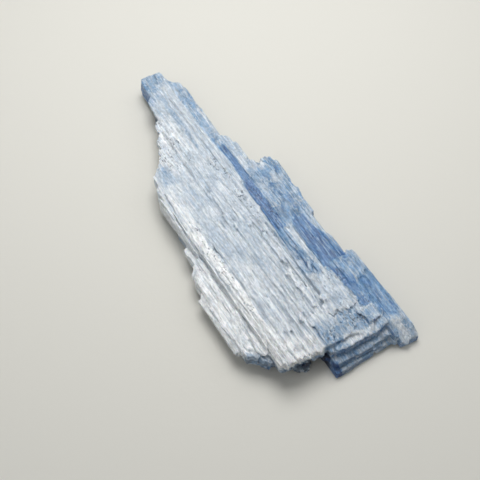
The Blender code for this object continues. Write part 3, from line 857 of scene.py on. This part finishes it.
        "outline": [(-7.6, -19.4), (-5.8, -19.8), (-5.8, -16.8), (-7.6, -16.4)],
    },
}


def setAttribute(piece, name, values):
    layer = piece.data.attributes.new(name, "FLOAT", "POINT")
    layer.data.foreach_set("value", values.astype(np.float32))


def paintZones(piece):
    spots = growthPlaces(piece)
    blue = np.full(len(spots), paleBlue)
    for number, zone in enumerate(zones.values()):
        depth = insideDistance(spots[:, 0], spots[:, 1], zone["outline"])
        depth += 2 * zone["ragged"] * wander(spots, zoneBends, number)
        share = np.clip(depth / zone["soft"] + 0.5, 0, 1)
        if "heights" in zone:
            low, high = zone["heights"]
            share = share * np.clip((high - spots[:, 2]) / 0.3, 0, 1) * (spots[:, 2] > low)
        blue += (zone["blue"] - blue) * share
    setAttribute(piece, "blue", blue)


# rounds of smoothing after which a point is compared with its smoothed place, and the mm of relief
# that then count in full
ridgeSteps = {2: 0.03, 6: 0.07}


def paintRidgesHollowsAndWalls(piece):
    # 0.5 on a plain face, more on worn ridges and edges, less in furrows and pits, where it sets the painted
    # shade
    spots = growthPlaces(piece)
    pairs = np.empty(len(piece.data.edges) * 2, np.int32)
    piece.data.edges.foreach_get("vertices", pairs)
    pairs = pairs.reshape(-1, 2)
    facing = facings(piece)
    links = np.bincount(pairs.ravel(), minlength=len(spots)).clip(1)
    smooth = spots.copy()
    wear = np.zeros(len(spots))
    for turn in range(1, max(ridgeSteps) + 1):
        total = np.zeros_like(smooth)
        for axis in range(3):
            total[:, axis] = np.bincount(pairs[:, 0], smooth[pairs[:, 1], axis], len(spots))
            total[:, axis] += np.bincount(pairs[:, 1], smooth[pairs[:, 0], axis], len(spots))
        smooth = (smooth + total) / (links + 1)[:, None]
        if turn in ridgeSteps:
            wear += 0.5 * ((spots - smooth) * facing).sum(1) / ridgeSteps[turn]
    setAttribute(piece, "wear", np.clip(0.5 + 0.5 * wear, 0, 1))
    setAttribute(piece, "wall", np.clip((0.75 - np.abs(facing[:, 2])) / 0.5, 0, 1))


def paintDirtAndShade(piece):
    spots = growthPlaces(piece)
    # along the seams
    dirt = seam["dirt"] * nearSeams(spots, seam["dirtWide"])
    # in patches on the broken edges: dirt, and painted shade in the notch and low on the walls
    patchy = smoothNoise(spots, (0.5, 0.9, 0.5), 61) + 0.6 * smoothNoise(spots, (0.2, 0.3, 0.2), 62)
    for outline, top, amount in dirtAndShadePlaces:
        share = np.clip(insideDistance(spots[:, 0], spots[:, 1], outline) / 0.6 + 0.5, 0, 1)
        share = share * np.clip((top - spots[:, 2]) / 0.5, 0, 1) * (spots[:, 2] > 0.1)
        dirt = np.maximum(dirt, share * amount * np.clip((patchy - 0.45) / 0.5, 0, 1))
    # along the partings
    inside = insideDistance(spots[:, 0], spots[:, 1], partings["outline"]) > 0
    layer = spots[:, 2] + wander(spots, partings["bends"])
    fade = np.clip(2.4 * smoothNoise(spots, partings["stretches"], 65) - 0.5, 0, 1)
    for height in partings["heights"]:
        share = np.clip(1.5 - 1.5 * np.abs(layer - height) / partings["wide"], 0, 1)
        dirt = np.maximum(dirt, inside * share * fade * partings["dirt"])
    setAttribute(piece, "dirt", dirt)
    pits = np.zeros(len(spots))
    for amount, outline in pittedPlaces:
        depth = insideDistance(spots[:, 0], spots[:, 1], outline)
        pits = np.maximum(pits, amount * np.clip(depth / 0.8 + 0.5, 0, 1))
    setAttribute(piece, "pits", np.where(spots[:, 2] > 1, pits, 0.15))  # few on the lowest layers


paintZones(stone)
paintRidgesHollowsAndWalls(stone)
paintDirtAndShade(stone)
print("blue zones and wear painted")


# the finish: pearly, splintery kyanite, milky over translucent blue

scaly = [("blue", 0.2, 0.42, 0.12, 1.0), ("blue", 0.7, 0.95, 1.0, 0.5)]  # where lifted scales show
combed = ("blue", 0.6, 1.0, 1.0, 0.6)  # the deepest blue is a little smoother

# A factor is a pattern or painted value, the low and high ends of the stretch of it that counts, and what
# it gives at those ends. A layer is the product of its factors, and layers are added up.
# Kyanite splits into fibres far thinner than these patterns. They are as fine as still shows at this size,
# and make its clean faces silky and its broken ones chalky.
finish = {
    "ramp": [  # how blue, and the colour there
        (0.0, "#F4F6F7"), (0.07, "#DCE2E7"), (0.16, "#C4CED8"), (0.3, "#ABBCCD"), (0.5, "#8CA7C2"),
        (0.75, "#6992B8"), (1.0, "#4776A9"), (1.4, "#1E4B7E"),
    ],
    "patterns": {  # size in mm, detail, roughness, and a number that sets each apart from the others
        "streaks": ((0.26, 9.0, 0.26), 3.0, 0.55, 0.0),  # bundles of milky and bluer fibres
        "fibres": ((0.12, 5.0, 0.12), 2.0, 0.55, 3.0),
        "mottle": ((1.3, 2.6, 1.3), 4.0, 0.55, 7.0),  # clouds of milk, dirt and broken scales
        "grain": ((0.22, 0.32, 0.22), 2.0, 0.55, 11.0),
        "hairs": ((0.15, 3.4, 0.15), 2.0, 0.55, 17.0),
        "specks": ((0.24, 0.4, 0.24), 1.0, 0.55, 23.0),
        "grit": ((0.24, 0.9, 0.24), 4.0, 0.7, 29.0),
        "glints": ((0.13, 3.0, 0.13), 2.0, 0.55, 37.0),
        "bends": ((0.7, 0.9, 0.7), 3.0, 0.5, 2.0),  # what makes the scales' outlines wander
    },
    "painted": ["blue", "wear", "wall", "dirt", "pits"],  # values that lie on the mesh
    "scale": ((0.75, 1.2, 0.75), 4.0, 1.1),  # size in mm, its number, and how far its outline wanders
    "toneLayers": [
        [("streaks", 0.3, 0.7, -0.06, 0.06)],
        [("fibres", 0.3, 0.7, -0.04, 0.04)],
        [("hairs", 0.3, 0.7, -0.09, 0.09), ("blue", 0.1, 1.0, 1.0, 1.5)],
        [("grain", 0.3, 0.7, -0.05, 0.05), ("blue", 0.1, 1.0, 1.0, 2.8)],
        # cloudier patches in the blue
        [("mottle", 0.3, 0.7, -0.2, 0.2), ("blue", 0.1, 0.6, 0.15, 1.0)],
        # lifted scales of cleavage: each bluer or milkier than the next, with a bright broken outline
        [("scales", 0.0, 1.0, -0.17, 0.2), *scaly],
        [("scaleEdges", 0.0, 0.07, -0.45, 0.0), ("mottle", 0.4, 0.6, 0.1, 1.0), *scaly],
        # the walls show the blue inside, which the milky skin on top hides, and are painted a little darker
        # as shade
        [("wall", 0.0, 1.0, 0.0, 1.0), ("blue", 0.1, 0.5, 0.02, 0.16)],
        # broken edges are bruised white
        [("wear", 0.5, 0.9, 0.0, -1.0), ("blue", 0.1, 0.6, 0.05, 0.24)],
        # thin pale lines along the blue cleavage, partly single lifted fibres and partly painted glints
        [("glints", 0.56, 0.62, 0.0, -0.6), ("blue", 0.3, 0.7, 0.1, 1.0), ("mottle", 0.4, 0.55, 0.3, 1.0)],
    ],
    "leastBlue": [("blue", 0.0, 2.0, 0.0, 0.7)],  # however milky a place is, the blue below shines through
    # painted shade: darker in the furrows, less so on the walls and in the deep blue
    "furrowShade": [("wear", 0.05, 0.4, 1.0, 0.0), ("wall", 0.0, 1.0, 0.5, 0.15), ("blue", 0.3, 0.8, 1.0, 0.3)],
    "darkPits": [
        ("specks", 0.59, 0.64, 0.0, 1.0), ("mottle", 0.46, 0.54, 0.0, 1.0), ("pits", 0.0, 1.0, 0.0, 1.0),
    ],
    # the colour of both dirt and painted shade
    "dirtAndShadeColour": "#66717D",
    "grit": [("grit", 0.3, 0.7, 0.55, 1.3)],  # how much darker or lighter single grains are
    "gritty": [[("blue", 0.0, 0.12, 1.0, 0.0)], [("blue", 0.0, 0.5, 0.6, 1.0)]],  # most where white or blue
    # looked at along the layers the blue turns a little more violet
    "violet": [("wall", 0.0, 1.0, 0.0, 1.0), ("blue", 0.3, 0.8, 0.0, 1.0)],
    "violetColour": "#F8F1FF",
    "reliefLayers": [
        [("hairs", 0.0, 1.0, 0.0, 0.9), combed],
        [("streaks", 0.0, 1.0, 0.0, 0.6), combed],
        [("fibres", 0.0, 1.0, 0.0, 0.4)],
        [("grain", 0.0, 1.0, 0.0, 0.35)],
        [("grit", 0.0, 1.0, 0.0, 0.6)],
        [("specks", 0.59, 0.64, 0.0, -0.4), ("mottle", 0.46, 0.54, 0.0, 1.0)],
        [("scales", 0.0, 1.0, 0.0, 0.3), *scaly],
    ],
    "reliefDepth": 0.08,  # mm
    "reliefStrength": 0.8,
    "roughness": [("grain", 0.3, 0.7, 0.24, 0.62)],
    "ior": 1.6,  # solid kyanite has about 1.72, and its splintery faces look less glossy
    "glow": 0.15,  # the share of the light that passes just below the surface
    "glowReach": (0.35, 0.55, 0.9),  # mm, for red, green and blue light
}


def addNode(tree, kind, settings, *inputs):
    # inputs stand in the node's own order; a node or one of its outputs is linked, and a value is set
    node = tree.nodes.new("ShaderNode" + kind)
    sockets = list(zip(node.inputs, inputs))
    for name, value in settings.items():
        if isinstance(name, int) or name in node.inputs:
            sockets.append((node.inputs[name], value))
        else:
            setattr(node, name, value)
    for socket, value in sockets:
        if isinstance(value, bpy.types.Node):
            value = value.outputs[0]
        if isinstance(value, bpy.types.NodeSocket):
            tree.links.new(value, socket)
        else:
            socket.default_value = value
    return node


def patternPlace(size, number):
    # how a pattern's place is stretched to its size in mm, and moved apart from the others
    return {"Scale": [1 / (side * mm) for side in size], "Location": (number, number * 1.7, number * 0.6)}


def kyanite():
    material = bpy.data.materials.new("splintery_kyanite")
    material.use_nodes = True
    material.node_tree.nodes.clear()
    add = partial(addNode, material.node_tree)
    place = add("TexCoord", {}).outputs["Object"]
    source = {name: add("Attribute", {"attribute_name": name}).outputs["Fac"] for name in finish["painted"]}
    for name, (size, detail, roughness, number) in finish["patterns"].items():
        spot = add("Mapping", {"Vector": place, **patternPlace(size, number)})
        source[name] = add(
            "TexNoise", {"Vector": spot, "Scale": 1.0, "Detail": detail, "Roughness": roughness}
        )

    # the scales' cells, with bent outlines
    size, number, bend = finish["scale"]
    spot = add("Mapping", {"Vector": place, **patternPlace(size, number)})
    bends = source["bends"].outputs["Color"]
    bent = add("VectorMath", {"operation": "MULTIPLY_ADD"}, bends, (bend, bend, bend), spot)
    source["scaleEdges"] = add("TexVoronoi", {"feature": "DISTANCE_TO_EDGE", "Vector": bent, "Scale": 1.0})
    cells = add("TexVoronoi", {"Vector": bent, "Scale": 1.0})
    source["scales"] = add("SeparateColor", {}, cells.outputs["Color"])

    def joined(operation, parts):
        total = parts[0]
        for part in parts[1:]:
            total = add("Math", {"operation": operation}, total, part)
        return total

    def layer(factors):
        return joined("MULTIPLY", [add("MapRange", {}, source[name], *stretch) for name, *stretch in factors])

    tone = joined("ADD", [source["blue"], *(layer(factors) for factors in finish["toneLayers"])])
    tone = joined("MAXIMUM", [tone, layer(finish["leastBlue"])])
    deepest = finish["ramp"][-1][0]
    ramp = add("ValToRGB", {"Fac": add("Math", {"operation": "DIVIDE"}, tone, deepest)})
    elements = ramp.color_ramp.elements
    elements[0].position, elements[0].color = 0.0, linear(finish["ramp"][0][1])
    elements[1].position, elements[1].color = 1.0, linear(finish["ramp"][-1][1])
    for position, colour in finish["ramp"][1:-1]:
        elements.new(position / deepest).color = linear(colour)

    # painted shade in the furrows, the painted dirt and shade, and small dark pits in clusters on the milky
    # sheet
    dirt = joined("MAXIMUM", [layer(finish["furrowShade"]), layer(finish["darkPits"]), source["dirt"]])
    gritty = joined("MAXIMUM", [*(layer(factors) for factors in finish["gritty"]), source["pits"]])
    stains = [
        (linear(finish["dirtAndShadeColour"]), dirt),
        (layer(finish["grit"]), gritty),
        (linear(finish["violetColour"]), layer(finish["violet"])),
    ]
    colour = ramp
    for stain, share in stains:  # 6 and 7 are the two colours that are mixed
        settings = {"data_type": "RGBA", "blend_type": "MULTIPLY", "Factor": share, 6: colour, 7: stain}
        colour = add("Mix", settings).outputs[2]

    height = joined("ADD", [layer(factors) for factors in finish["reliefLayers"]])
    depth = finish["reliefDepth"] * mm
    bump = add("Bump", {"Strength": finish["reliefStrength"], "Distance": depth, "Height": height})
    shader = add("BsdfPrincipled", {
        "Base Color": colour, "Roughness": layer(finish["roughness"]), "IOR": finish["ior"], "Normal": bump,
        "Subsurface Weight": finish["glow"], "Subsurface Radius": finish["glowReach"], "Subsurface Scale": mm,
    })
    add("OutputMaterial", {"Surface": shader})
    return material


stone.data.materials.clear()
stone.data.materials.append(kyanite())
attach(stone, "root")
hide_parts(stoneName)
print("finish given")


# floor, light and camera

# pale pressed card: its fine tooth scatters the light, so it has no gloss and takes soft shadows
card = {
    "colour": "#DDDBD3",
    "roughness": 0.9,
    "tooth": 0.7,  # bumps in a millimetre, as on pressed paper
    "toothDepth": 0.1,  # mm
    "toothStrength": 0.25,
}


def matteCard():
    material = bpy.data.materials.new("matte_card")
    material.use_nodes = True
    tree = material.node_tree
    shader = tree.nodes["Principled BSDF"]
    shader.inputs["Base Color"].default_value = linear(card["colour"])
    shader.inputs["Roughness"].default_value = card["roughness"]
    place = addNode(tree, "TexCoord", {}).outputs["Object"]
    tooth = addNode(
        tree, "TexNoise", {"Vector": place, "Scale": card["tooth"] / mm, "Detail": 4.0, "Roughness": 0.6}
    )
    depth = card["toothDepth"] * mm
    bump = addNode(tree, "Bump", {"Strength": card["toothStrength"], "Distance": depth, "Height": tooth})
    tree.links.new(bump.outputs["Normal"], shader.inputs["Normal"])
    return material


bpy.ops.mesh.primitive_plane_add(size=3.0)
floor = bpy.context.object
floor.name = "floor"
floor.data.materials.append(matteCard())

room = {"colour": "#EEF1F3", "strength": 0.255}
world = bpy.data.worlds.new("room")
bpy.context.scene.world = world
world.use_nodes = True
world.node_tree.nodes["Background"].inputs["Color"].default_value = linear(room["colour"])
world.node_tree.nodes["Background"].inputs["Strength"].default_value = room["strength"]

# angles in degrees, distances and sizes in metres
lamps = {
    "window": {"azimuth": 150.0, "elevation": 65.0, "distance": 0.14, "size": 0.09, "watts": 0.158},
    "side": {"azimuth": 85.0, "elevation": 42.0, "distance": 0.6, "size": 0.3, "watts": 0.3},
    "fill": {"azimuth": -80.0, "elevation": 42.0, "distance": 0.6, "size": 0.5, "watts": 0.4},
}
camera = {"azimuth": -32.0, "elevation": 59.0, "distance": 0.135, "fieldOfView": 27.0}


def towards(azimuth, elevation):
    turn, rise = math.radians(azimuth), math.radians(elevation)
    return Vector((math.sin(turn) * math.cos(rise), -math.cos(turn) * math.cos(rise), math.sin(rise)))


def pointAtStone(thing, settings):
    direction = towards(settings["azimuth"], settings["elevation"])
    bpy.context.scene.collection.objects.link(thing)
    thing.location = growthOrigin * mm + direction * settings["distance"]
    thing.rotation_euler = direction.to_track_quat("Z", "Y").to_euler()


for name, settings in lamps.items():
    lamp = bpy.data.lights.new(name, "AREA")
    lamp.size = settings["size"]
    lamp.energy = settings["watts"]
    pointAtStone(bpy.data.objects.new(name, lamp), settings)

lens = bpy.data.cameras.new("eye")
lens.angle = math.radians(camera["fieldOfView"])
lens.clip_start = 0.001
eye = bpy.data.objects.new("eye", lens)
pointAtStone(eye, camera)
bpy.context.scene.camera = eye
bpy.context.scene.view_settings.view_transform = "Standard"
print("floor, light and camera placed")
